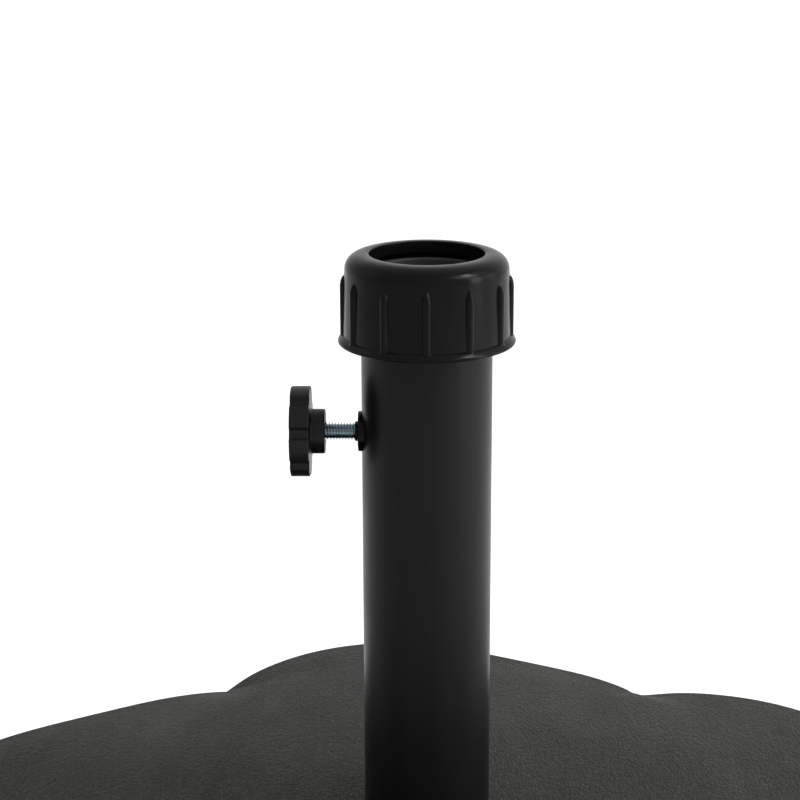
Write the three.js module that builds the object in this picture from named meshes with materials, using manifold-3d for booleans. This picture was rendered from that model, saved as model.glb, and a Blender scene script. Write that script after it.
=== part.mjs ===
// Parasol base: a weighted foot with a six-petal outline, a steel post standing in it, a screw-down
// collar nut on top of the post, and a star-knob clamp screw in the post's side.
// Millimetres, +Z up. The origin is on the floor, on the post's axis.
import * as THREE from "three";
import { mergeVertices } from "three/addons/utils/BufferGeometryUtils.js";
import Module from "manifold-3d";

const wasm = await Module();
wasm.setup();

// Driving dimensions.
const HEIGHT = 370;
const GAP = 0.3;

const PETALS = 6;
const PETAL_DEGREES = 360 / PETALS;
const FIRST_NOTCH = 30;
const CREST_RADIUS = 291;
const NOTCH_RADIUS = 246;
const CREST_SHARE = 0.4;
const PETAL_SAG = 0.22;
const ROUND_RADIUS = 120;
const PETAL_SEGMENTS = 60;

const RIM_HEIGHT = 63;
const CROWN_HEIGHT = 92;
const CROWN_RADIUS = 46;
const DOME_POWER = 1.5;
const RIM_FILLET = 10;
const RIM_BREAK = 79.5;
const DOME_RINGS = [240, 185, ROUND_RADIUS, CROWN_RADIUS];
const VALLEY_DEPTH = 4;
const VALLEY_LENGTH = 55;
const VALLEY_HALF_WIDTH = 6;
const VALLEY_SHIFT = 4;
const COVER_WALL = 3;
const BALLAST_CLEARANCE = 2;

const FOOT_HEIGHT = 5.7;
const FOOT_RADIUS = 16;
const FOOT_EDGE = 1.5;
const FOOT_DRAFT = 0.5;
const FOOT_STUD_RADIUS = 3.7;
const FOOT_CIRCLE = 245;
const PAN_BOTTOM = 6;
const PAN_TOP = 9;
const PAN_HOLE_RADIUS = 16;
const SCREW_CIRCLE = 205;
const SCREW_RADIUS = 1.9;
const SCREW_HEAD_RADIUS = 4;
const SCREW_HEAD_HEIGHT = 2.3;
const SCREW_HEAD_BEVEL = 1;
const SCREW_POINT = 2;
const SCREW_END = 23.5;
const BOSS_RADIUS = 7;

const POST_RADIUS = 30;
const POST_WALL = 1.5;
const POST_BOTTOM = 24.5;
const POST_TOP = HEIGHT - 20;
const CUP_WALL = 2.1;
const CUP_BOTTOM = 18.6;
const CUP_TOP = CROWN_HEIGHT - COVER_WALL - 0.5;
const PLUG_THICKNESS = 6;
const BOLT_RADIUS = 4.9;
const BOLT_FLATS = 16;
const BOLT_HEAD_BOTTOM = 9.9;
const BOLT_HEAD_TOP = 15.9;
const BOLT_END = 38;
const WASHER_RADIUS = 12;
const WASHER_THICKNESS = 2.1;
const SEAL_RADIUS = 33;
const SEAL_EDGE = 0.6;

const SLEEVE_BOTTOM = HEIGHT - 39;
const SLEEVE_TOP = HEIGHT - 16;
const SLEEVE_RADIUS = 33.4;
const SLEEVE_LIP_RADIUS = 26.5;
const SLEEVE_BEVEL = 2;
const RING_BOTTOM = HEIGHT - 15.7;
const RING_TOP = HEIGHT - 7.8;
const RING_BORE = 25.3;
const RING_FOOT_RADIUS = 31;
const RING_TOP_RADIUS = 28.5;
const RING_FOOT_HEIGHT = 1.5;
const RING_BEVEL = 0.6;
const RING_SPLIT = 3;

const CAP_HOLE_RADIUS = 26.25;
const CAP_SHOULDER = 8;
const CAP_BODY_RADIUS = 37.3;
const CAP_FOOT_RADIUS = 38;
const CAP_FLANGE_RADIUS = 40.5;
const CAP_BOTTOM = HEIGHT - 41;
const CAP_FLANGE_HEIGHT = 4.5;
const CAP_LIP = 5.5;
const CAP_CONE_RADIUS = 29.5;
const CAP_CONE_DEPTH = 14;
const CAP_CAVITY_RADIUS = 34.5;
const RIBS = 12;
const RIB_RADIUS = 2.1;
const RIB_CIRCLE = 37.2;
const RIB_SHOULDER = 15;
const RIB_TIP = 11;

// Places along the clamp screw are distances out from the post's axis.
const KNOB_HEIGHT = HEIGHT - 83.8;
const BUSH_RADIUS = 9.35;
const BUSH_BEVEL = 0.5;
const BUSH_FACE = 31.7;
const BUSH_STEM_RADIUS = 5.8;
const BUSH_NOSE_RADIUS = 4.6;
const BUSH_NOSE_END = 33.1;
const BUSH_COLLAR_RADIUS = 7.2;
const BUSH_INNER_END = 26.4;
const CLAMP_BORE_RADIUS = 4.12;
const CLAMP_SCREW_RADIUS = 3.8;
const CLAMP_SCREW_BEVEL = 0.8;
const CLAMP_SCREW_TIP = 28;
const CLAMP_HEAD_FLATS = 13;
const CLAMP_HEAD_START = 55.5;
const CLAMP_HEAD_END = 60.7;
const PAD_RADIUS = 3.3;
const PAD_THICKNESS = 2;
const KNOB_RADIUS = 21;
const KNOB_HUB_RADIUS = 10.35;
const KNOB_LOBES = 8;
const KNOB_VALLEY_RADIUS = 3.1;
const KNOB_VALLEY_CIRCLE = 21.8;
const KNOB_VALLEY_TILT = 13;
const HUB_START = 46.7;
const HUB_BEVEL = 0.6;
const DISC_START = 53.5;
const DISC_END = 62.7;
const DISC_BEVEL = 1;

const RIB_SIDES = 8;
const HOLE_SEGMENTS = 16;
const SMALL_SEGMENTS = 24;
const ROUND_SEGMENTS = 48;
const MERGE_DISTANCE = 1e-4;

// Points on a circular arc of a section, with angles in degrees from the radial direction.
function arc(centreRadius, centreHeight, radius, from, to, steps) {
  const points = [];
  for (let i = 0; i <= steps; i++) {
    const angle = THREE.MathUtils.degToRad(from + ((to - from) * i) / steps);
    points.push([centreRadius + radius * Math.cos(angle), centreHeight + radius * Math.sin(angle)]);
  }
  return points;
}

// A solid turned about Z. The section lists [radius, height] points anticlockwise.
function turned(section, segments = ROUND_SEGMENTS) {
  const points = section.map(([radius, height]) => new THREE.Vector2(radius, height));
  if (section[0][0] > 0) {
    points.push(points[0].clone());
  }
  return new THREE.LatheGeometry(points, segments).rotateX(Math.PI / 2);
}

function rod(radius, low, high, segments = HOLE_SEGMENTS) {
  return turned([[0, low], [radius, low], [radius, high], [0, high]], segments);
}

function tube(inner, outer, low, high, segments = ROUND_SEGMENTS) {
  return turned([[outer, low], [outer, high], [inner, high], [inner, low]], segments);
}

// A hexagonal prism about Z, given its width across flats.
function hexagon(flats, low, high) {
  return rod(flats / Math.sqrt(3), low, high, 6);
}

// A closed geometry as a solid that can be cut and joined.
function solid(geometry) {
  const bare = geometry.clone();
  bare.deleteAttribute("normal");
  bare.deleteAttribute("uv");
  const merged = mergeVertices(bare, MERGE_DISTANCE);
  const vertProperties = merged.attributes.position.array;
  const triVerts = new Uint32Array(merged.index.array);
  return new wasm.Manifold(new wasm.Mesh({ numProp: 3, vertProperties, triVerts }));
}

function geometryOf(body) {
  const mesh = body.getMesh();
  const geometry = new THREE.BufferGeometry();
  geometry.setAttribute("position", new THREE.BufferAttribute(mesh.vertProperties, 3));
  geometry.setIndex(new THREE.BufferAttribute(mesh.triVerts, 1));
  geometry.computeVertexNormals();
  return geometry;
}

function cut(body, ...tools) {
  return tools.reduce((left, tool) => left.subtract(solid(tool)), body);
}

function join(body, ...pieces) {
  return pieces.reduce((whole, piece) => whole.add(solid(piece)), body);
}

function addPart(group, name, shape, look) {
  const geometry = shape.isBufferGeometry ? shape : geometryOf(shape);
  const mesh = new THREE.Mesh(geometry, new THREE.MeshStandardMaterial(look));
  mesh.name = name;
  group.add(mesh);
  return mesh;
}

const LOOKS = {
  grainedPlastic: { color: 0x2e2d2c, roughness: 0.62, metalness: 0 },
  satinPlastic: { color: 0x191a1b, roughness: 0.42, metalness: 0 },
  paleConcrete: { color: 0x8d8a84, roughness: 0.95, metalness: 0 },
  blackRubber: { color: 0x151515, roughness: 0.85, metalness: 0 },
  blackSteel: { color: 0x161616, roughness: 0.35, metalness: 0.2 },
  zincSteel: { color: 0xb4bcc2, roughness: 0.3, metalness: 1 },
};

// The petal outline. Azimuths are in degrees clockwise from +Y, seen from above.
function pastNotch(azimuth) {
  return THREE.MathUtils.euclideanModulo(azimuth - FIRST_NOTCH, PETAL_DEGREES);
}

// Each petal rises quickly after its notch and falls away slowly to the next one.
function petalRadius(azimuth) {
  const share = pastNotch(azimuth) / PETAL_DEGREES;
  const rise = Math.sin((Math.PI / 2) * Math.min(share / CREST_SHARE, 1));
  const fall = Math.max(share - CREST_SHARE, 0) / (1 - CREST_SHARE);
  const lean = Math.cos((Math.PI / 2) * fall) - PETAL_SAG * Math.sin(Math.PI * fall) ** 2;
  return NOTCH_RADIUS + (CREST_RADIUS - NOTCH_RADIUS) * rise * lean;
}

// How far the round blank is drawn in at an azimuth, outside the plain round centre.
function petalScale(azimuth) {
  return (petalRadius(azimuth) - ROUND_RADIUS) / (CREST_RADIUS - ROUND_RADIUS);
}

// The cover dips a little in the valley that runs inwards from each notch.
function valleyDepth(azimuth, radius) {
  const offset = pastNotch(azimuth + PETAL_DEGREES / 2) - PETAL_DEGREES / 2 - VALLEY_SHIFT;
  const end = NOTCH_RADIUS - RIM_FILLET;
  const along = THREE.MathUtils.smoothstep(radius, end - VALLEY_LENGTH, end);
  return VALLEY_DEPTH * along * Math.exp(-((offset / VALLEY_HALF_WIDTH) ** 2));
}

function domeHeight(blankRadius) {
  const span = CREST_RADIUS - RIM_FILLET - CROWN_RADIUS;
  const share = Math.max(blankRadius - CROWN_RADIUS, 0) / span;
  return CROWN_HEIGHT - (CROWN_HEIGHT - RIM_HEIGHT) * share ** DOME_POWER;
}

// The cover's outer height above the floor at a place on the finished outline.
function coverHeight(azimuth, radius) {
  const blankRadius = ROUND_RADIUS + (radius - ROUND_RADIUS) / petalScale(azimuth);
  return domeHeight(blankRadius) - valleyDepth(azimuth, radius);
}

// Turns a round blank into the petal outline, with its valleys.
function petalled(geometry) {
  const place = geometry.attributes.position;
  for (let i = 0; i < place.count; i++) {
    const x = place.getX(i);
    const y = place.getY(i);
    const z = place.getZ(i);
    const blankRadius = Math.hypot(x, y);
    if (blankRadius > ROUND_RADIUS) {
      const azimuth = THREE.MathUtils.radToDeg(Math.atan2(x, y));
      const radius = ROUND_RADIUS + (blankRadius - ROUND_RADIUS) * petalScale(azimuth);
      const upper = THREE.MathUtils.smoothstep(z, RIM_HEIGHT / 2, RIM_HEIGHT - RIM_FILLET);
      place.setXYZ(i, (x * radius) / blankRadius, (y * radius) / blankRadius,
        z - upper * valleyDepth(azimuth, radius));
    }
  }
  return geometry;
}

function around(radius, azimuth) {
  const angle = THREE.MathUtils.degToRad(azimuth);
  return [radius * Math.sin(angle), radius * Math.cos(angle)];
}

// The top of a petal blank from the rim inwards, set in from the cover's outer face.
function domeSection(inset, innerRadius) {
  const centre = CREST_RADIUS - RIM_FILLET;
  const points = arc(centre, RIM_HEIGHT - RIM_FILLET, RIM_FILLET - inset, 0, RIM_BREAK, 3);
  for (const radius of DOME_RINGS) {
    points.push([radius, domeHeight(radius) - inset]);
  }
  points.push([innerRadius, CROWN_HEIGHT - inset]);
  return points;
}

function notchAzimuth(index) {
  return FIRST_NOTCH + index * PETAL_DEGREES;
}

function crestAzimuth(index) {
  return notchAzimuth(index) + CREST_SHARE * PETAL_DEGREES;
}

// A moulded cover, open underneath, with six screw bosses hanging from its ceiling.
function topCover() {
  const hole = SEAL_RADIUS + GAP;
  const outer = domeSection(0, hole);
  const inner = domeSection(COVER_WALL, hole).reverse();
  const skirt = PAN_BOTTOM + 0.5;
  const section = [[CREST_RADIUS, skirt], ...outer, ...inner, [CREST_RADIUS - COVER_WALL, skirt]];
  let cover = solid(petalled(turned(section, PETAL_SEGMENTS)));
  for (let i = 0; i < PETALS; i++) {
    const [x, y] = around(SCREW_CIRCLE, notchAzimuth(i));
    const ceiling = coverHeight(notchAzimuth(i), SCREW_CIRCLE) - COVER_WALL / 2;
    cover = join(cover, rod(BOSS_RADIUS, PAN_TOP + GAP, ceiling).translate(x, y, 0));
    cover = cut(cover, rod(SCREW_RADIUS + GAP, PAN_BOTTOM, SCREW_END + GAP).translate(x, y, 0));
  }
  return cover;
}

// Concrete cast inside the cover, around the cup that holds the post.
function ballastBlock() {
  const inset = COVER_WALL + BALLAST_CLEARANCE;
  const rim = CREST_RADIUS - inset;
  const well = POST_RADIUS + GAP + CUP_WALL + GAP;
  const dome = domeSection(inset, well);
  const access = PAN_HOLE_RADIUS + GAP;
  const ledge = CUP_BOTTOM - GAP;
  const bottom = PAN_TOP + GAP;
  const section = [[rim, bottom], ...dome, [well, ledge], [access, ledge], [access, bottom]];
  let block = solid(petalled(turned(section, PETAL_SEGMENTS)));
  for (let i = 0; i < PETALS; i++) {
    const [x, y] = around(SCREW_CIRCLE, notchAzimuth(i));
    block = cut(block, rod(BOSS_RADIUS + 2 * GAP, 0, HEIGHT).translate(x, y, 0));
  }
  return block;
}

// A flat pan that closes the underside inside the cover's skirt.
function bottomPan() {
  const rim = CREST_RADIUS - COVER_WALL - 2 * GAP;
  let pan = solid(petalled(tube(PAN_HOLE_RADIUS, rim, PAN_BOTTOM, PAN_TOP, PETAL_SEGMENTS)));
  for (let i = 0; i < PETALS; i++) {
    const screw = rod(SCREW_RADIUS + GAP, 0, PAN_TOP + 1);
    screw.translate(...around(SCREW_CIRCLE, notchAzimuth(i)), 0);
    const stud = rod(FOOT_STUD_RADIUS + GAP, 0, PAN_TOP + 1);
    stud.translate(...around(FOOT_CIRCLE, crestAzimuth(i)), 0);
    pan = cut(pan, screw, stud);
  }
  return pan;
}

// A round rubber foot with a stud that presses into the pan.
function rubberFoot() {
  const edge = arc(FOOT_RADIUS - FOOT_EDGE, FOOT_EDGE, FOOT_EDGE, -90, 0, 2);
  const rim = FOOT_RADIUS - FOOT_DRAFT;
  return turned([[0, 0], ...edge, [rim, FOOT_HEIGHT], [FOOT_STUD_RADIUS, FOOT_HEIGHT],
    [FOOT_STUD_RADIUS, PAN_TOP], [0, PAN_TOP]], HOLE_SEGMENTS);
}

function panScrew() {
  const seat = PAN_BOTTOM - GAP;
  const crown = seat - SCREW_HEAD_HEIGHT;
  return turned([[0, crown], [SCREW_HEAD_RADIUS - SCREW_HEAD_BEVEL, crown],
    [SCREW_HEAD_RADIUS, crown + SCREW_HEAD_BEVEL], [SCREW_HEAD_RADIUS, seat], [SCREW_RADIUS, seat],
    [SCREW_RADIUS, SCREW_END - SCREW_POINT], [0, SCREW_END]], HOLE_SEGMENTS);
}

// A steel cup cast into the concrete. The post stands in it and is bolted to its floor.
function postCup() {
  const inner = POST_RADIUS + GAP;
  const outer = inner + CUP_WALL;
  const floor = POST_BOTTOM - GAP;
  const bolt = BOLT_RADIUS + 2 * GAP;
  return turned([[bolt, CUP_BOTTOM], [outer, CUP_BOTTOM], [outer, CUP_TOP], [inner, CUP_TOP],
    [inner, floor], [bolt, floor]]);
}

function postTube() {
  const wall = solid(tube(POST_RADIUS - POST_WALL, POST_RADIUS, POST_BOTTOM, POST_TOP));
  const hole = rod(BUSH_STEM_RADIUS + GAP, 0, 2 * POST_RADIUS).rotateY(-Math.PI / 2);
  return cut(wall, hole.translate(0, 0, KNOB_HEIGHT));
}

// A steel disc in the post's lower end. The anchor bolt screws into it and the pole rests on it.
function endPlug() {
  const rim = POST_RADIUS - POST_WALL - GAP;
  return tube(BOLT_RADIUS + GAP, rim, POST_BOTTOM, POST_BOTTOM + PLUG_THICKNESS);
}

function anchorBolt() {
  const head = solid(hexagon(BOLT_FLATS, BOLT_HEAD_BOTTOM, BOLT_HEAD_TOP));
  return join(head, rod(BOLT_RADIUS, BOLT_HEAD_TOP - 1, BOLT_END));
}

function anchorWasher() {
  const top = CUP_BOTTOM - GAP;
  return tube(BOLT_RADIUS + 2 * GAP, WASHER_RADIUS, top - WASHER_THICKNESS, top, HOLE_SEGMENTS);
}

// A rubber ring in the cover's hole. It centres the post and keeps rain out of the cup.
function postSeal() {
  const low = CUP_TOP + GAP;
  const high = CROWN_HEIGHT;
  const bore = POST_RADIUS + GAP;
  return turned([[SEAL_RADIUS, low], [SEAL_RADIUS, high - SEAL_EDGE],
    [SEAL_RADIUS - SEAL_EDGE, high], [bore + SEAL_EDGE, high], [bore, high - SEAL_EDGE],
    [bore, low]]);
}

// The threaded sleeve pushed over the post's top end, with a lip that caps the tube wall.
function threadedSleeve() {
  const bore = POST_RADIUS + GAP;
  const seat = POST_TOP + GAP;
  return turned([[SLEEVE_RADIUS, SLEEVE_BOTTOM], [SLEEVE_RADIUS, SLEEVE_TOP - SLEEVE_BEVEL],
    [SLEEVE_RADIUS - SLEEVE_BEVEL, SLEEVE_TOP], [SLEEVE_LIP_RADIUS, SLEEVE_TOP],
    [SLEEVE_LIP_RADIUS, seat], [bore, seat], [bore, SLEEVE_BOTTOM]]);
}

// A tapered ring with one split, which the nut's cone closes on the pole.
function clampRing() {
  const shoulder = RING_TOP - RING_BEVEL;
  const ring = solid(turned([[RING_FOOT_RADIUS, RING_BOTTOM],
    [RING_FOOT_RADIUS, RING_BOTTOM + RING_FOOT_HEIGHT], [RING_TOP_RADIUS, shoulder],
    [RING_TOP_RADIUS - RING_BEVEL, RING_TOP], [RING_BORE + RING_BEVEL, RING_TOP],
    [RING_BORE, shoulder], [RING_BORE, RING_BOTTOM]]));
  const split = new THREE.BoxGeometry(RING_SPLIT, POST_RADIUS, POST_RADIUS);
  return cut(ring, split.translate(0, -POST_RADIUS, RING_BOTTOM));
}

// The collar nut: a rounded cap with a round hole, half-round grip ribs and a flared foot.
function capNut() {
  const shoulder = arc(CAP_BODY_RADIUS - CAP_SHOULDER, HEIGHT - CAP_SHOULDER, CAP_SHOULDER, 0, 90, 6);
  const cavityTop = HEIGHT - CAP_LIP;
  const flangeStart = CAP_BOTTOM + CAP_FLANGE_HEIGHT;
  const section = [
    [CAP_FLANGE_RADIUS - 0.8, CAP_BOTTOM],
    [CAP_FLANGE_RADIUS, CAP_BOTTOM + 0.6],
    [CAP_FLANGE_RADIUS - 0.5, CAP_BOTTOM + 1.8],
    [CAP_FOOT_RADIUS, flangeStart],
    ...shoulder,
    [CAP_HOLE_RADIUS, HEIGHT - 0.5],
    [CAP_HOLE_RADIUS, cavityTop],
    [CAP_CONE_RADIUS, cavityTop],
    [CAP_CAVITY_RADIUS, HEIGHT - CAP_CONE_DEPTH],
    [CAP_CAVITY_RADIUS, CAP_BOTTOM],
  ];
  let cap = solid(turned(section));
  for (let i = 0; i < RIBS; i++) {
    const rib = turned([[0, flangeStart - 1], [RIB_RADIUS, flangeStart - 1],
      [RIB_RADIUS, HEIGHT - RIB_SHOULDER], [RIB_RADIUS * 0.6, HEIGHT - RIB_TIP - 1],
      [0, HEIGHT - RIB_TIP]], RIB_SIDES);
    rib.translate(...around(RIB_CIRCLE, (i * 360) / RIBS), 0);
    cap = join(cap, rib);
  }
  return cap;
}

// The clamp parts are drawn about their own Z, which points outwards from the post's axis.
// A flanged bush set in the post's wall: an outer saddle flange, a stem and an inner crimped collar.
function screwBush() {
  const postInside = acrossPost(POST_RADIUS - POST_WALL - GAP);
  const postOutside = acrossPost(POST_RADIUS + GAP);
  const flange = turned([[0, BUSH_INNER_END], [BUSH_RADIUS, BUSH_INNER_END],
    [BUSH_RADIUS, BUSH_FACE - BUSH_BEVEL], [BUSH_RADIUS - BUSH_BEVEL, BUSH_FACE],
    [BUSH_NOSE_RADIUS, BUSH_FACE], [BUSH_NOSE_RADIUS, BUSH_NOSE_END], [0, BUSH_NOSE_END]],
    SMALL_SEGMENTS);
  const collar = solid(rod(BUSH_COLLAR_RADIUS, BUSH_INNER_END, POST_RADIUS - 1));
  const stem = rod(BUSH_STEM_RADIUS, BUSH_INNER_END, POST_RADIUS + 1);
  const outside = cut(solid(flange), postOutside);
  const whole = join(outside, stem).add(collar.intersect(solid(postInside)));
  return cut(whole, rod(CLAMP_BORE_RADIUS, 0, BUSH_NOSE_END + 1, SMALL_SEGMENTS));
}

// A rod along the post, in the clamp's own axes.
function acrossPost(radius) {
  return rod(radius, -POST_RADIUS, POST_RADIUS, ROUND_SEGMENTS).rotateY(Math.PI / 2);
}

function clampScrew() {
  const end = CLAMP_HEAD_START + GAP;
  const shank = turned([[0, CLAMP_SCREW_TIP],
    [CLAMP_SCREW_RADIUS - CLAMP_SCREW_BEVEL, CLAMP_SCREW_TIP],
    [CLAMP_SCREW_RADIUS, CLAMP_SCREW_TIP + CLAMP_SCREW_BEVEL],
    [CLAMP_SCREW_RADIUS, end], [0, end]], SMALL_SEGMENTS);
  return join(solid(hexagon(CLAMP_HEAD_FLATS, CLAMP_HEAD_START, CLAMP_HEAD_END)), shank);
}

// A pad on the screw's tip that doesn't turn, so that the pole isn't scored.
function pressurePad() {
  const outer = CLAMP_SCREW_TIP - GAP;
  return rod(PAD_RADIUS, outer - PAD_THICKNESS, outer, SMALL_SEGMENTS);
}

// The knob's plan: a disc with a scallop between each two lobes.
function knobOutline() {
  const shape = new THREE.Shape();
  const pitch = (2 * Math.PI) / KNOB_LOBES;
  const first = THREE.MathUtils.degToRad(KNOB_VALLEY_TILT - 90);
  const reach = (KNOB_RADIUS ** 2 + KNOB_VALLEY_CIRCLE ** 2 - KNOB_VALLEY_RADIUS ** 2)
    / (2 * KNOB_RADIUS * KNOB_VALLEY_CIRCLE);
  const half = Math.acos(reach);
  const turn = Math.PI - Math.asin((KNOB_RADIUS * Math.sin(half)) / KNOB_VALLEY_RADIUS);
  for (let i = 0; i < KNOB_LOBES; i++) {
    const valley = first + i * pitch;
    const x = KNOB_VALLEY_CIRCLE * Math.cos(valley);
    const y = KNOB_VALLEY_CIRCLE * Math.sin(valley);
    shape.absarc(x, y, KNOB_VALLEY_RADIUS, valley - turn, valley + turn, true);
    shape.absarc(0, 0, KNOB_RADIUS, valley + half, valley + pitch - half, false);
  }
  return shape;
}

function knobBody() {
  const disc = new THREE.ExtrudeGeometry(knobOutline(), {
    depth: DISC_END - DISC_START - 2 * DISC_BEVEL, curveSegments: 5, bevelEnabled: true,
    bevelThickness: DISC_BEVEL, bevelSize: DISC_BEVEL, bevelOffset: -DISC_BEVEL, bevelSegments: 1,
  }).translate(0, 0, DISC_START + DISC_BEVEL);
  const hubEnd = DISC_START + 2 * DISC_BEVEL;
  const hub = turned([[0, HUB_START], [KNOB_HUB_RADIUS - HUB_BEVEL, HUB_START],
    [KNOB_HUB_RADIUS, HUB_START + HUB_BEVEL], [KNOB_HUB_RADIUS, hubEnd], [0, hubEnd]], 32);
  const knob = join(solid(disc), hub);
  const pocket = hexagon(CLAMP_HEAD_FLATS + 2 * GAP, CLAMP_HEAD_START - GAP, CLAMP_HEAD_END + GAP);
  const bore = rod(CLAMP_BORE_RADIUS, HUB_START - 1, CLAMP_HEAD_START + GAP, SMALL_SEGMENTS);
  return cut(knob, bore, pocket);
}

const parasolBase = new THREE.Group();

const foot = new THREE.Group();
parasolBase.add(foot);
addPart(foot, "top_cover", topCover(), LOOKS.grainedPlastic);
addPart(foot, "ballast_block", ballastBlock(), LOOKS.paleConcrete);
addPart(foot, "bottom_pan", bottomPan(), LOOKS.satinPlastic);
for (let i = 0; i < PETALS; i++) {
  const rubber = addPart(foot, `rubber_foot_${i + 1}`, rubberFoot(), LOOKS.blackRubber);
  rubber.position.set(...around(FOOT_CIRCLE, crestAzimuth(i)), 0);
  const screw = addPart(foot, `pan_screw_${i + 1}`, panScrew(), LOOKS.zincSteel);
  screw.position.set(...around(SCREW_CIRCLE, notchAzimuth(i)), 0);
}

const post = new THREE.Group();
parasolBase.add(post);
addPart(post, "post_cup", postCup(), LOOKS.zincSteel);
addPart(post, "post_tube", postTube(), LOOKS.blackSteel);
addPart(post, "end_plug", endPlug(), LOOKS.zincSteel);
addPart(post, "anchor_bolt", anchorBolt(), LOOKS.zincSteel);
addPart(post, "anchor_washer", anchorWasher(), LOOKS.zincSteel);
addPart(post, "post_seal", postSeal(), LOOKS.blackRubber);
addPart(post, "threaded_sleeve", threadedSleeve(), LOOKS.satinPlastic);
addPart(post, "clamp_ring", clampRing(), LOOKS.satinPlastic);
addPart(post, "cap_nut", capNut(), LOOKS.satinPlastic);

// Local Z of the clamp points along -X, and its local X points up.
const clamp = new THREE.Group();
clamp.position.z = KNOB_HEIGHT;
clamp.rotation.y = -Math.PI / 2;
parasolBase.add(clamp);
addPart(clamp, "screw_bush", screwBush(), LOOKS.satinPlastic);
addPart(clamp, "pressure_pad", pressurePad(), LOOKS.satinPlastic);
addPart(clamp, "clamp_screw", clampScrew(), LOOKS.zincSteel);
addPart(clamp, "knob_body", knobBody(), LOOKS.satinPlastic);

export default parasolBase;
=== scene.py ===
import math

import bmesh
import bpy
import numpy as np
from mathutils import Matrix, Vector


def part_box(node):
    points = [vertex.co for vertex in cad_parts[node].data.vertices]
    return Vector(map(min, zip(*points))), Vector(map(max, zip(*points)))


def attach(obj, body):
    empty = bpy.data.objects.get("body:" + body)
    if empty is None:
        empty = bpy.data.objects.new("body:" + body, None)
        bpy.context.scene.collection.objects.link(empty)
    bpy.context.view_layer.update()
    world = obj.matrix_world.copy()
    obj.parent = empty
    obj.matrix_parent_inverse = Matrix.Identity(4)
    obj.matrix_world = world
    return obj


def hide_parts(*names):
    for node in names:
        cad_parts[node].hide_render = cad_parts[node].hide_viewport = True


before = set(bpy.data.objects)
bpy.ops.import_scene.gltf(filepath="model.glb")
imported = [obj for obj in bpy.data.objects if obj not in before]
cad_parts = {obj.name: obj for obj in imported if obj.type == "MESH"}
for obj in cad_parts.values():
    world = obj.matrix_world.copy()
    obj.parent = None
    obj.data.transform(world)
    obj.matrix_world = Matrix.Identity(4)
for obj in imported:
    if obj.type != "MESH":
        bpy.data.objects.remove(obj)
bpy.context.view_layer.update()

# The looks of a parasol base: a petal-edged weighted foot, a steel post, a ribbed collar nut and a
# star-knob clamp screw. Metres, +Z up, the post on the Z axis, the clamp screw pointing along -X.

MM = 0.001
TAU = 2 * math.pi


def low(node):
    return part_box(node)[0]


def high(node):
    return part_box(node)[1]


# Places that the rest follows, all from the frame.
TOP = high("cap_nut").z
POST_RADIUS = high("post_tube").x
CLAMP_HEIGHT = (low("screw_bush").z + high("screw_bush").z) / 2


# ---------------------------------------------------------------- camera

# A portrait lens at about eye level over a low product, tilted down, with the post a little to the
# right of the picture's middle.
CAMERA_DISTANCE = 0.9
CAMERA_ABOVE_TOP = 0.189
CAMERA_TILT = 15.99
LENS = 91.8
SENSOR = 36.0
SHIFT = -0.0336


def make_camera():
    data = bpy.data.cameras.new("camera")
    data.lens = LENS
    data.sensor_width = SENSOR
    data.shift_x = SHIFT
    data.clip_start = 0.05
    data.clip_end = 100
    camera = bpy.data.objects.new("camera", data)
    camera.location = (0, -CAMERA_DISTANCE, TOP + CAMERA_ABOVE_TOP)
    camera.rotation_euler = (math.radians(90 - CAMERA_TILT), 0, 0)
    bpy.context.scene.collection.objects.link(camera)
    bpy.context.scene.camera = camera


# ---------------------------------------------------------------- material nodes


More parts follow.
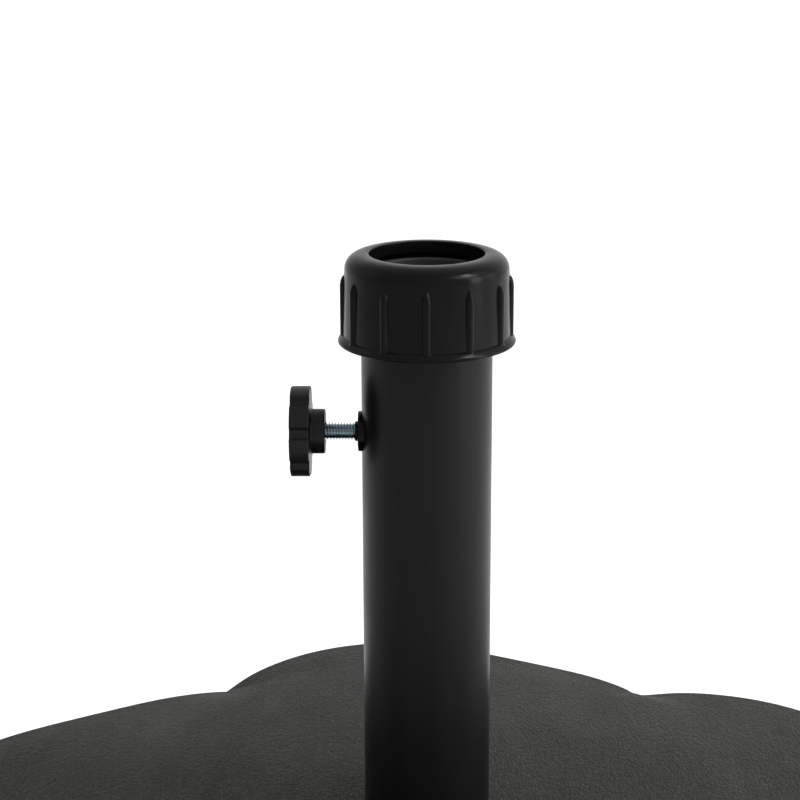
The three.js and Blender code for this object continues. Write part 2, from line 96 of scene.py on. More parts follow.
class Paint:
    """A material under construction: its node tree, its shader and its object coordinates."""

    def __init__(self, name, colour, roughness, metallic=0.0, **sockets):
        self.material = bpy.data.materials.new(name)
        self.material.use_nodes = True
        self.material.diffuse_color = (*colour, 1)
        self.tree = self.material.node_tree
        self.shader = self.tree.nodes["Principled BSDF"]
        self.shader.inputs["Base Color"].default_value = (*colour, 1)
        self.shader.inputs["Roughness"].default_value = roughness
        self.shader.inputs["Metallic"].default_value = metallic
        for socket, value in sockets.items():
            self.shader.inputs[socket.replace("_", " ")].default_value = value
        self.place = self.tree.nodes.new("ShaderNodeTexCoord").outputs["Object"]

    def link(self, source, target):
        self.tree.links.new(source, target)

    def stretched(self, scale):
        """The object coordinates, scaled by a different amount along each axis."""
        mapping = self.tree.nodes.new("ShaderNodeMapping")
        mapping.inputs["Scale"].default_value = scale
        self.link(self.place, mapping.inputs["Vector"])
        return mapping.outputs["Vector"]

    def noise(self, size, detail=3.0, roughness=0.5, place=None):
        """Noise whose features are about size metres across."""
        node = self.tree.nodes.new("ShaderNodeTexNoise")
        node.inputs["Scale"].default_value = 1 / size
        node.inputs["Detail"].default_value = detail
        node.inputs["Roughness"].default_value = roughness
        self.link(place or self.place, node.inputs["Vector"])
        return node.outputs["Fac"]

    def cells(self, size, feature="F1", place=None, output="Distance"):
        """Voronoi cells about size metres across."""
        node = self.tree.nodes.new("ShaderNodeTexVoronoi")
        node.feature = feature
        node.inputs["Scale"].default_value = 1 / size
        self.link(place or self.place, node.inputs["Vector"])
        return node.outputs[output]

    def warped(self, size, amount):
        """The object coordinates pushed about by noise, so that what follows them looks natural."""
        node = self.tree.nodes.new("ShaderNodeTexNoise")
        node.inputs["Scale"].default_value = 1 / size
        self.link(self.place, node.inputs["Vector"])
        push = self.tree.nodes.new("ShaderNodeVectorMath")
        push.operation = "MULTIPLY_ADD"
        push.inputs[1].default_value = (amount, amount, amount)
        self.link(node.outputs["Color"], push.inputs[0])
        self.link(self.place, push.inputs[2])
        return push.outputs["Vector"]

    def span(self, value, low_in, high_in, low_out, high_out):
        node = self.tree.nodes.new("ShaderNodeMapRange")
        node.inputs["From Min"].default_value = low_in
        node.inputs["From Max"].default_value = high_in
        node.inputs["To Min"].default_value = low_out
        node.inputs["To Max"].default_value = high_out
        self.link(value, node.inputs["Value"])
        return node.outputs["Result"]

    def blend(self, share, first, second):
        """A colour that goes from first to second as share goes from 0 to 1."""
        node = self.tree.nodes.new("ShaderNodeMix")
        node.data_type = "RGBA"
        self.link(share, node.inputs["Factor"])
        for socket, colour in ((node.inputs[6], first), (node.inputs[7], second)):
            if isinstance(colour, tuple):
                socket.default_value = (*colour, 1)
            else:
                self.link(colour, socket)
        return node.outputs[2]

    def colour(self, output):
        self.link(output, self.shader.inputs["Base Color"])

    def rough(self, output):
        self.link(output, self.shader.inputs["Roughness"])

    def bump(self, *layers):
        """Each layer is (height output, depth in metres), laid one on another."""
        normal = None
        for height, depth in layers:
            node = self.tree.nodes.new("ShaderNodeBump")
            node.inputs["Strength"].default_value = 1.0
            node.inputs["Distance"].default_value = depth
            self.link(height, node.inputs["Height"])
            if normal:
                self.link(normal, node.inputs["Normal"])
            normal = node.outputs["Normal"]
        self.link(normal, self.shader.inputs["Normal"])


def grained_plastic():
    """Moulded cover plastic: matt, dark warm grey, with a fine leather grain, and painted shade that darkens
    the colour down in the grain's grooves.
    """
    paint = Paint("grained_plastic", (0.025, 0.025, 0.0223), 0.55, Specular_IOR_Level=0.065)
    paint.place = paint.stretched((1.0, 0.36, 1.0))
    skin = paint.warped(0.003, 0.0008)
    pebbles = paint.cells(0.0017, "SMOOTH_F1", skin)
    creases = paint.cells(0.0016, "DISTANCE_TO_EDGE", skin)
    groove = paint.span(creases, 0.0, 0.16, 0.0, 1.0)
    fine = paint.noise(0.0011, 2.0)
    paint.bump((groove, 0.00042), (pebbles, -0.00048), (fine, 0.00010))
    cloud = paint.noise(0.09, 4.0)
    darker = paint.blend(cloud, (0.0175, 0.0175, 0.0157), (0.0205, 0.0205, 0.0184))
    lighter = paint.blend(cloud, (0.0300, 0.0300, 0.0268), (0.0340, 0.0340, 0.0303))
    shade = paint.blend(paint.span(paint.noise(0.0018, 2.0), 0.35, 0.65, 0.0, 1.0), darker, lighter)
    # Painted shade: the colour goes near black down in the grooves of the grain.
    groove_shade = paint.span(groove, 0.0, 1.0, 0.85, 0.0)
    paint.colour(paint.blend(groove_shade, shade, (0.0120, 0.0120, 0.0108)))
    paint.rough(paint.span(paint.noise(0.03, 5.0), 0.3, 0.7, 0.50, 0.60))
    return paint.material


def satin_plastic(name, tint, roughness, specular):
    """Injection-moulded black plastic with a soft sheen and a very fine spark-eroded texture."""
    paint = Paint(name, tint, roughness, Specular_IOR_Level=specular)
    fine = paint.noise(0.00045, 2.0)
    waves = paint.noise(0.011, 2.0)
    paint.bump((fine, 0.00002), (waves, 0.00012))
    darker = tuple(0.82 * part for part in tint)
    paint.colour(paint.blend(paint.noise(0.02, 4.0), darker, tint))
    paint.rough(paint.span(paint.noise(0.007, 5.0), 0.3, 0.7, roughness - 0.04, roughness + 0.05))
    return paint.material


def coated_steel():
    """Satin black powder coat on the post: a faint orange peel and a few dull patches."""
    paint = Paint("coated_steel", (0.0024, 0.0024, 0.0025), 0.33, Specular_IOR_Level=0.105)
    peel = paint.noise(0.0016, 2.0)
    fine = paint.noise(0.00035, 2.0)
    paint.bump((peel, 0.000028), (fine, 0.000010))
    patches = paint.noise(0.035, 5.0)
    paint.colour(paint.blend(patches, (0.0021, 0.0021, 0.0022), (0.0027, 0.0027, 0.0028)))
    paint.rough(paint.span(patches, 0.3, 0.7, 0.30, 0.37))
    return paint.material


def zinc_plate():
    """Bright, slightly blue zinc plating with fine drawn streaks and a few dull spots."""
    paint = Paint("zinc_plate", (0.33, 0.39, 0.42), 0.24, 1.0)
    spots = paint.noise(0.0022, 5.0)
    paint.colour(paint.blend(spots, (0.31, 0.37, 0.40), (0.39, 0.45, 0.475)))
    paint.rough(paint.span(spots, 0.3, 0.7, 0.16, 0.26))
    paint.bump((paint.noise(0.0004, 3.0), 0.000004))
    return paint.material


def galvanised_steel():
    """Dull hot-dip zinc with its spangle, on steel that stays out of sight."""
    paint = Paint("galvanised_steel", (0.46, 0.48, 0.49), 0.45, 1.0)
    spangle = paint.cells(0.007, output="Color")
    paint.colour(paint.blend(spangle, (0.38, 0.40, 0.41), (0.56, 0.58, 0.59)))
    paint.rough(paint.span(paint.noise(0.01, 4.0), 0.3, 0.7, 0.38, 0.55))
    paint.bump((paint.noise(0.002, 4.0), 0.00005))
    return paint.material


def soft_rubber():
    """Black rubber with a dry surface and a little floor dust on it."""
    paint = Paint("soft_rubber", (0.018, 0.018, 0.018), 0.85, Specular_IOR_Level=0.3)
    dust = paint.span(paint.noise(0.006, 6.0), 0.45, 0.75, 0.0, 0.7)
    paint.colour(paint.blend(dust, (0.016, 0.016, 0.016), (0.045, 0.043, 0.040)))
    paint.rough(paint.span(paint.noise(0.004, 4.0), 0.3, 0.7, 0.78, 0.92))
    paint.bump((paint.noise(0.0006, 3.0), 0.00005))
    return paint.material


def pan_plastic():
    """Coarser recycled plastic of the underside, with flow marks."""
    paint = Paint("pan_plastic", (0.020, 0.020, 0.020), 0.6, Specular_IOR_Level=0.4)
    flow = paint.noise(0.03, 6.0, 0.6, paint.stretched((1.0, 0.3, 1.0)))
    paint.colour(paint.blend(flow, (0.015, 0.015, 0.015), (0.028, 0.028, 0.027)))
    paint.rough(paint.span(flow, 0.3, 0.7, 0.5, 0.68))
    paint.bump((paint.noise(0.0009, 3.0), 0.00006))
    return paint.material


def cast_concrete():
    """Grey concrete with sand grains and small air pores, with painted shade that darkens the colour in the
    pores.
    """
    paint = Paint("cast_concrete", (0.40, 0.39, 0.37), 0.92, Specular_IOR_Level=0.25)
    grains = paint.noise(0.0015, 6.0, 0.7)
    clouds = paint.noise(0.05, 5.0)
    pores = paint.span(paint.cells(0.006), 0.05, 0.16, 0.0, 1.0)
    tone = paint.blend(clouds, (0.34, 0.33, 0.31), (0.46, 0.45, 0.43))
    # Painted shade: the colour goes dark grey in the pores.
    paint.colour(paint.blend(paint.span(pores, 0.0, 1.0, 0.6, 0.0), tone, (0.14, 0.135, 0.13)))
    paint.rough(paint.span(grains, 0.3, 0.7, 0.86, 0.97))
    paint.bump((grains, 0.0002), (pores, 0.0005))
    return paint.material


# ---------------------------------------------------------------- mesh building

SHARP_EDGE = 32
ON_AXIS = 1e-7


def rounded(corners, steps):
    """A closed section from corners (radius, height, fillet), with each corner rounded to its fillet."""
    points = []
    for i, (radius, height, fillet) in enumerate(corners):
        here = np.array([radius, height])
        before = np.array(corners[i - 1][:2]) - here
        after = np.array(corners[(i + 1) % len(corners)][:2]) - here
        if fillet <= 0:
            points.append(here)
            continue
        to_before = before / np.linalg.norm(before)
        to_after = after / np.linalg.norm(after)
        angle = math.acos(float(np.clip(to_before @ to_after, -1, 1)))
        reach = fillet / math.tan(angle / 2)
        middle = to_before + to_after
        centre = here + middle / np.linalg.norm(middle) * fillet / math.sin(angle / 2)
        start = here + to_before * reach - centre
        end = here + to_after * reach - centre
        sweep = math.pi - angle
        for k in range(steps + 1):
            share = k / steps
            part = (math.sin((1 - share) * sweep) * start + math.sin(share * sweep) * end)
            points.append(centre + part / math.sin(sweep))
    return np.array(points)


def circle_angles(count):
    return np.arange(count) * TAU / count


def ring(radii, angles, heights):
    """One row of points round Z."""
    radii = np.broadcast_to(radii, angles.shape)
    heights = np.broadcast_to(heights, angles.shape)
    return np.stack([radii * np.cos(angles), radii * np.sin(angles), heights], axis=1)


def round_edge(radii, height, size, degrees, angles):
    """Rows along a round edge of the given size, whose centre line lies at radii and height."""
    turns = np.radians(degrees)
    return [ring(radii + size * math.cos(turn), angles, height + size * math.sin(turn)) for turn in turns]


def skin(name, rows, loop, sharp=SHARP_EDGE):
    """A closed mesh through rows of points. With loop the last row joins the first, and otherwise
    each end row is closed by a face. Edges that turn more than sharp degrees stay crisp."""
    rows = np.array(rows)
    count, width = rows.shape[:2]
    mesh = bpy.data.meshes.new(name)
    body = bmesh.new()
    verts = [body.verts.new(point) for point in rows.reshape(-1, 3)]
    for i in range(count if loop else count - 1):
        for j in range(width):
            a, b = i * width, (i + 1) % count * width
            k = (j + 1) % width
            body.faces.new((verts[a + j], verts[a + k], verts[b + k], verts[b + j]))
    if not loop:
        body.faces.new(verts[:width])
        body.faces.new(verts[-width:])
    bmesh.ops.recalc_face_normals(body, faces=body.faces)
    body.to_mesh(mesh)
    body.free()
    piece = bpy.data.objects.new(name, mesh)
    bpy.context.scene.collection.objects.link(piece)
    return smooth(piece, sharp)


def smooth(piece, sharp):
    piece.data.shade_smooth()
    piece.data.set_sharp_from_angle(angle=math.radians(sharp))
    return piece


def lathe(name, corners, count, steps, solid=False):
    """A turned piece. corners go round a closed section, or for a solid piece from axis to axis."""
    section = rounded(corners, steps)
    angles = circle_angles(count)
    if solid:
        section = section[section[:, 0] > ON_AXIS]
    rows = [ring(radius, angles, height) for radius, height in section]
    return skin(name, rows, not solid)


def cut_out(piece, cutter):
    """Cuts the cutter's shape out of the piece and removes the cutter."""
    modifier = piece.modifiers.new("cut", "BOOLEAN")
    modifier.operation = "DIFFERENCE"
    modifier.solver = "EXACT"
    modifier.object = cutter
    graph = bpy.context.evaluated_depsgraph_get()
    mesh = bpy.data.meshes.new_from_object(piece.evaluated_get(graph))
    piece.modifiers.clear()
    piece.data = mesh
    bpy.data.objects.remove(cutter)
    smooth(piece, SHARP_EDGE)


def along_clamp(piece):
    """Turns a piece drawn about Z so that its Z points out along the clamp screw."""
    place = Matrix.Translation((0, 0, CLAMP_HEIGHT)) @ Matrix.Rotation(-math.pi / 2, 4, "Y")
    piece.data.transform(place)
    piece.data.update()


def finish_piece(piece, body, slot, material, *nodes):
    """Gives the piece its material and its body, and hides the nodes it stands in for. The slot argument is
    not used.
    """
    piece.data.materials.clear()
    piece.data.materials.append(material)
    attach(piece, body)
    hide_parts(*nodes)


# ---------------------------------------------------------------- petal foot

PETALS = 6
PETAL_DEGREES = 360 / PETALS
FIRST_NOTCH = 30.0
CREST_SHARE = 0.4
PETAL_SAG = 0.22
CREST_RADIUS = 290.4 * MM
NOTCH_RADIUS = 246 * MM
ROUND_RADIUS = 120 * MM
RIM_HEIGHT = 63 * MM
RIM_FILLET = 10 * MM
RIM_BREAK = 79.5
RIM_STEPS = 9
CROWN_RADIUS = 46 * MM
DOME_POWER = 1.5
COVER_WALL = 3 * MM
SOFT_RADIUS = 215 * MM
SOFT_TURN = 14
SOFT_SAMPLES = 13
CREASE_START = 240 * MM
CREASE_LENGTH = 33 * MM
CREASE_DEPTH = 2.7 * MM
CREASE_WIDTH = 8 * MM
CREASE_LEAN = math.radians(41)
CREASE_OPENING = 8 * MM
CROWN_HEIGHT = high("top_cover").z


def petal_shape(azimuths):
    """The outline's radius at azimuths in degrees clockwise from +Y."""
    share = np.mod(azimuths - FIRST_NOTCH, PETAL_DEGREES) / PETAL_DEGREES
    rise = np.sin(math.pi / 2 * np.minimum(share / CREST_SHARE, 1))
    fall = np.maximum(share - CREST_SHARE, 0) / (1 - CREST_SHARE)
    lean = np.cos(math.pi / 2 * fall) - PETAL_SAG * np.sin(math.pi * fall) ** 2
    return NOTCH_RADIUS + (CREST_RADIUS - NOTCH_RADIUS) * rise * lean


def petal_azimuths():
    """Columns of the foot's meshes, closer together about each notch and its crease."""
    before = [-5.5, -4, -2.8, -1.9, -1.2, -0.7, -0.35]
    crease = list(np.arange(0, 3, 0.25)) + list(np.arange(3, 17, 0.45))
    beyond = list(np.linspace(17, PETAL_DEGREES - 7, 24))
    one = np.array(before + crease + beyond)
    return np.concatenate([FIRST_NOTCH + i * PETAL_DEGREES + one for i in range(PETALS)])


def dome_height(blank):
    span = CREST_RADIUS - RIM_FILLET - CROWN_RADIUS
    share = max(blank - CROWN_RADIUS, 0) / span
    return CROWN_HEIGHT - (CROWN_HEIGHT - RIM_HEIGHT) * share**DOME_POWER


def smoothstep(value, start, end):
    share = np.clip((value - start) / (end - start), 0, 1)
    return share * share * (3 - 2 * share)


def crease_dip(radii, azimuths):
    """How far the cover dips beside each crease. A crease carries a petal's trailing edge on past the
    notch, inwards over the next petal, which starts a little lower."""
    offset = np.mod(azimuths - FIRST_NOTCH + PETAL_DEGREES / 4, PETAL_DEGREES) - PETAL_DEGREES / 4
    inside = CREASE_START - radii
    along = np.radians(offset) * radii
    beyond = along * math.sin(CREASE_LEAN) - inside * math.cos(CREASE_LEAN)
    share = np.maximum(beyond, 0) / CREASE_WIDTH
    fade = (1 - smoothstep(inside, -CREASE_OPENING, CREASE_LENGTH)) ** 2
    return CREASE_DEPTH * math.e * share * np.exp(-share) * fade


def foot_row(blank, height, azimuths, dipped=0.0):
    """One row of a petal-shaped piece. The blank is round, and its petals are drawn in outside a
    plain round middle, softly at first. dipped is the share of the creases' dip that the row takes."""
    turns = np.linspace(-SOFT_TURN, SOFT_TURN, SOFT_SAMPLES)
    soft = np.mean([petal_shape(azimuths + turn) for turn in turns], axis=0)
    sharp = smoothstep(blank, SOFT_RADIUS, CREST_RADIUS - RIM_FILLET)
    outline = soft + (petal_shape(azimuths) - soft) * sharp
    scale = (outline - ROUND_RADIUS) / (CREST_RADIUS - ROUND_RADIUS)
    radii = np.full_like(azimuths, blank)
    if blank > ROUND_RADIUS:
        radii = ROUND_RADIUS + (blank - ROUND_RADIUS) * scale
    heights = height - dipped * crease_dip(radii, azimuths)
    return ring(radii, np.radians(90 - azimuths), heights)


def dome_rows(inset, hole, azimuths):
    """Rows from the rim's edge up over the dome to the hole in the middle."""
    rows = []
    centre = CREST_RADIUS - RIM_FILLET
    fillet = RIM_FILLET - inset
    for degrees in np.linspace(0, RIM_BREAK, RIM_STEPS):
        angle = math.radians(degrees)
        blank = centre + fillet * math.cos(angle)
        height = RIM_HEIGHT - RIM_FILLET + fillet * math.sin(angle)
        rows.append(foot_row(blank, height, azimuths, math.sin(angle) ** 2))
    near_rim = np.arange(279, 226, -2.0) * MM
    further_in = np.arange(225, 124, -8.0) * MM
    round_middle = np.array([120, 100, 80, 62]) * MM
    for blank in [*near_rim, *further_in, *round_middle, CROWN_RADIUS, hole]:
        rows.append(foot_row(blank, dome_height(blank) - inset, azimuths, 1.0))
    return rows


def make_cover(material):
    azimuths = petal_azimuths()
    skirt = low("top_cover").z
    hole = high("post_seal").x + 0.3 * MM
    outer = dome_rows(0, hole, azimuths)
    inner = dome_rows(COVER_WALL, hole, azimuths)[::-1]
    lip = 0.8 * MM
    inside = CREST_RADIUS - COVER_WALL
    low_row, high_row = skirt + 12 * MM, skirt + 26 * MM
    rows = [
        foot_row(CREST_RADIUS - lip, skirt, azimuths),
        foot_row(CREST_RADIUS - lip * 0.3, skirt + lip * 0.3, azimuths),
        foot_row(CREST_RADIUS, skirt + lip, azimuths),
        foot_row(CREST_RADIUS, low_row, azimuths),
        foot_row(CREST_RADIUS, high_row, azimuths),
        *outer,
        *inner,
        foot_row(inside, high_row, azimuths),
        foot_row(inside, skirt, azimuths),
    ]
    cover = skin("petal_cover", rows, True, 40)
    finish_piece(cover, "base", "grained_plastic", material, "top_cover")


def make_pan(material):
    """The pan, with an embossed band round its edge and a raised ring about its access hole."""
    azimuths = petal_azimuths()
    under = low("bottom_pan").z
    over = high("bottom_pan").z
    rim = CREST_RADIUS - COVER_WALL - 0.6 * MM
    hole = 16 * MM
    step = 1.2 * MM
    bands = [(rim, 0), (rim - 0.6 * MM, -0.6), (rim - 9 * MM, -0.6), (rim - 10 * MM, 1),
             (rim - 18 * MM, 1), (rim - 19 * MM, 0), (150 * MM, 0), (149 * MM, 1), (141 * MM, 1),
             (140 * MM, 0), (60 * MM, 0), (59 * MM, 1), (51 * MM, 1), (50 * MM, 0),
             (26 * MM, 0), (25 * MM, -0.6), (hole + MM, -0.6), (hole, 0)]
    rows = [foot_row(blank, under + raised * step, azimuths) for blank, raised in bands]
    rows += [foot_row(hole, over, azimuths), foot_row(rim, over, azimuths)]
    pan = skin("underside_pan", rows, True, 30)
    finish_piece(pan, "base", "pan_plastic", material, "bottom_pan")


def make_feet(material):
    """Rubber feet with two shallow grooves in their soles and a stud into the pan."""
    top = high("rubber_foot_1").z
    pan = low("bottom_pan").z
    for i in range(PETALS):
        node = f"rubber_foot_{i + 1}"
        middle = (low(node) + high(node)) / 2
        radius = (high(node).x - low(node).x) / 2
        corners = [
            (0, 0.9 * MM, 0), (4.0 * MM, 0.9 * MM, 0.3 * MM), (4.6 * MM, 0, 0.3 * MM),
            (8.0 * MM, 0, 0.3 * MM), (8.6 * MM, 0.9 * MM, 0.3 * MM), (10 * MM, 0.9 * MM, 0.3 * MM),
            (10.6 * MM, 0, 0.3 * MM), (radius - 0.4 * MM, 0, 1.2 * MM),
            (radius - 0.3 * MM, pan - 0.3 * MM, 0.4 * MM), (3.7 * MM, pan - 0.3 * MM, 0.3 * MM),
            (3.7 * MM, top, 0.4 * MM), (0, top, 0),
        ]
        foot = lathe(f"foot_pad_{i + 1}", corners, 64, 3, True)
        foot.data.transform(Matrix.Translation((middle.x, middle.y, 0)))
        finish_piece(foot, "base", "foot_rubber", material, node)


def cross_cutter(name, length, width, bottom, top):
    """A tapered cross for the recess of a screw head, open towards -Z."""
    arm, half = length / 2, width / 2
    plan = [(arm, -half), (arm, half), (half, half), (half, arm), (-half, arm), (-half, half),
            (-arm, half), (-arm, -half), (-half, -half), (-half, -arm), (half, -arm), (half, -half)]
    tip = 0.55
    rows = [[(x, y, bottom) for x, y in plan], [(x * tip, y * tip, top) for x, y in plan]]
    return skin(name, rows, False)


PAN_SCREW_THREAD = (1.9 * MM, 1.35 * MM, 1.6 * MM)


def make_pan_screws(material):
    """Self-tapping screws with domed heads and cross recesses."""
    for i in range(PETALS):
        node = f"pan_screw_{i + 1}"
        middle = (low(node) + high(node)) / 2
        base, tip = low(node).z, high(node).z
        head = base + 2.3 * MM
        section = rounded([
            (0, base, 0), (3.0 * MM, base, 1.6 * MM), (4.0 * MM, head - 0.9 * MM, 0.5 * MM),
            (4.0 * MM, head, 0.1 * MM), (1.5 * MM, head, 0.1 * MM)], 4)
        angles = circle_angles(32)
        rows = [ring(radius, angles, height) for radius, height in section if radius > ON_AXIS]
        rows += thread_rows(angles, head + 0.2 * MM, tip, *PAN_SCREW_THREAD, 10, 3 * MM)
        screw = skin(f"pan_fixing_{i + 1}", rows, False)
        cutter = cross_cutter("cross", 4.2 * MM, 0.9 * MM, base - 0.5 * MM, base + 1.5 * MM)
        cut_out(screw, cutter)
        screw.data.transform(Matrix.Translation((middle.x, middle.y, 0)))
        finish_piece(screw, "base", "zinc_steel", material, node)


# ---------------------------------------------------------------- threads

THREAD_STEEPNESS = 1.16
THREAD_ROOT = 0.08


def thread_rows(angles, start, end, major, minor, pitch, per_pitch, tip=0.0):
    """Rows of a right-hand thread round Z from start to end, tapered over tip at its end."""
    count = max(int(round((end - start) / pitch * per_pitch)), 2)
    rows = []
    for height in np.linspace(start, end, count + 1):
        phase = np.mod(height / pitch - angles / TAU, 1.0)
        ridge = np.clip((0.5 - np.abs(phase - 0.5)) * 2 * THREAD_STEEPNESS - THREAD_ROOT, 0, 1)
        radii = minor + (major - minor) * ridge
        if tip > 0:
            room = max((end - height) / tip, 0.0)
            radii = np.minimum(radii, major * (0.25 + 0.75 * min(room, 1.0)))
        rows.append(ring(radii, angles, height))
    return rows


# ---------------------------------------------------------------- post


def make_post(material):
    """The post's tube, rounded at its ends, with the bush's hole through its side."""
    bottom, top = low("post_tube").z, high("post_tube").z
    wall = 1.5 * MM
    edge = 0.4 * MM
    angles = circle_angles(224)
    outside = [bottom + edge, bottom + 20 * MM, CLAMP_HEIGHT - 60 * MM, CLAMP_HEIGHT - 9 * MM,
               CLAMP_HEIGHT + 9 * MM, top - edge]
    inner = POST_RADIUS - wall
    rows = [ring(POST_RADIUS - edge, angles, bottom)]
    rows += [ring(POST_RADIUS, angles, height) for height in outside]
    rows += [ring(POST_RADIUS - edge, angles, top), ring(inner + edge, angles, top)]
    rows += [ring(inner, angles, height) for height in reversed(outside)]
    rows += [ring(inner + edge, angles, bottom)]
    post = skin("post_pipe", rows, True)
    drill_radius, near, far = 6.1 * MM, 20 * MM, 40 * MM
    corners = [(0, near, 0), (drill_radius, near, 0), (drill_radius, far, 0), (0, far, 0)]
    drill = lathe("drill", corners, 48, 1, True)
    along_clamp(drill)
    cut_out(post, drill)
    finish_piece(post, "base", "black_steel", material, "post_tube")


def make_seal(material):
    """The rubber ring in the cover's hole, with a soft edge and a lip against the post."""
    bottom, top = low("post_seal").z, high("post_seal").z
    outer = high("post_seal").x
    bore = POST_RADIUS + 0.15 * MM
    corners = [
        (outer, bottom, 0.2 * MM), (outer, top, 0.7 * MM), (bore + 1.2 * MM, top, 0.3 * MM),
        (bore + 0.9 * MM, top - 0.6 * MM, 0.2 * MM), (bore + 0.5 * MM, top - 0.6 * MM, 0.1 * MM),
        (bore, top - 0.2 * MM, 0.1 * MM), (bore, bottom, 0.2 * MM),
    ]
    seal = lathe("post_sealing_ring", corners, 144, 5)
    finish_piece(seal, "base", "foot_rubber", material, "post_seal")


def make_end_plug(material):
    bottom, top = low("end_plug").z, high("end_plug").z
    outer = high("end_plug").x
    hole = 5.2 * MM
    corners = [
        (outer, bottom, 0.5 * MM), (outer, top, 0.5 * MM), (12 * MM, top, 0.2 * MM),
        (11.5 * MM, top - 0.5 * MM, 0.2 * MM), (hole + 0.8 * MM, top - 0.5 * MM, 0.2 * MM),
        (hole, top - 1.3 * MM, 0.2 * MM), (hole, bottom, 0.3 * MM),
    ]
    plug = lathe("pole_seat_disc", corners, 96, 3)
    finish_piece(plug, "base", "zinc_steel", material, "end_plug")


def hex_radii(angles, flats):
    """The outline of a hexagon with the given width across flats."""
    sixth = math.pi / 3
    return flats / 2 / np.cos(np.mod(angles, sixth) - sixth / 2)


def hex_head_rows(angles, flats, crown, seat):
    """A bolt head from its chamfered crown to its seat. crown and seat are heights along Z."""
    outline = hex_radii(angles, flats)
    way = 1 if seat > crown else -1
    washer = flats / 2 - 0.2 * MM
    rows = [ring(washer * 0.3, angles, crown), ring(washer * 0.9, angles, crown)]
    for drop in np.linspace(0.15, 2.2, 9) * MM:
        rows.append(ring(np.minimum(outline, washer * 0.93 + drop * 1.7), angles, crown + way * drop))
    rows.append(ring(outline, angles, seat - way * 0.3 * MM))
    rows.append(ring(np.minimum(outline, washer), angles, seat))
    return rows


def make_anchor(material):
    """The bolt that holds the post down from below, and its washer."""
    box_low, box_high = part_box("anchor_bolt")
    seat = box_low.z + 6 * MM
    angles = circle_angles(96)
    rows = hex_head_rows(angles, 16 * MM, box_low.z, seat)
    major, minor, pitch = 4.9 * MM, 4.2 * MM, 1.5 * MM
    rows.append(ring(major, angles, seat))
    rows.append(ring(major, angles, seat + 6 * MM))
    rows += thread_rows(angles, seat + 6.4 * MM, box_high.z, major, minor, pitch, 12, pitch)
    bolt = skin("hold_down_bolt", rows, False)
    finish_piece(bolt, "base", "zinc_steel", material, "anchor_bolt")
    bottom, top = low("anchor_washer").z, high("anchor_washer").z
    outer = high("anchor_washer").x
    corners = [(outer, bottom, 0.5 * MM), (outer, top, 0.2 * MM), (5.4 * MM, top, 0.2 * MM),
               (5.4 * MM, bottom, 0.3 * MM)]
    washer = lathe("hold_down_washer", corners, 72, 3)
    finish_piece(washer, "base", "zinc_steel", material, "anchor_washer")


# ---------------------------------------------------------------- collar nut

RIBS = 12


def rib_angles():
    """Columns of the nut: close together over each rib and wider apart between ribs."""
    half = [0, 0.45, 0.9, 1.35, 1.8, 2.2, 2.5, 2.75, 2.95, 3.15, 3.4, 3.8, 4.5, 5.6, 7.2, 9.2, 11.6, 13.6]
    one = np.array([-value for value in reversed(half[1:])] + half)
    pitch = 360 / RIBS
    return np.radians(np.concatenate([i * pitch + one for i in range(RIBS)]))


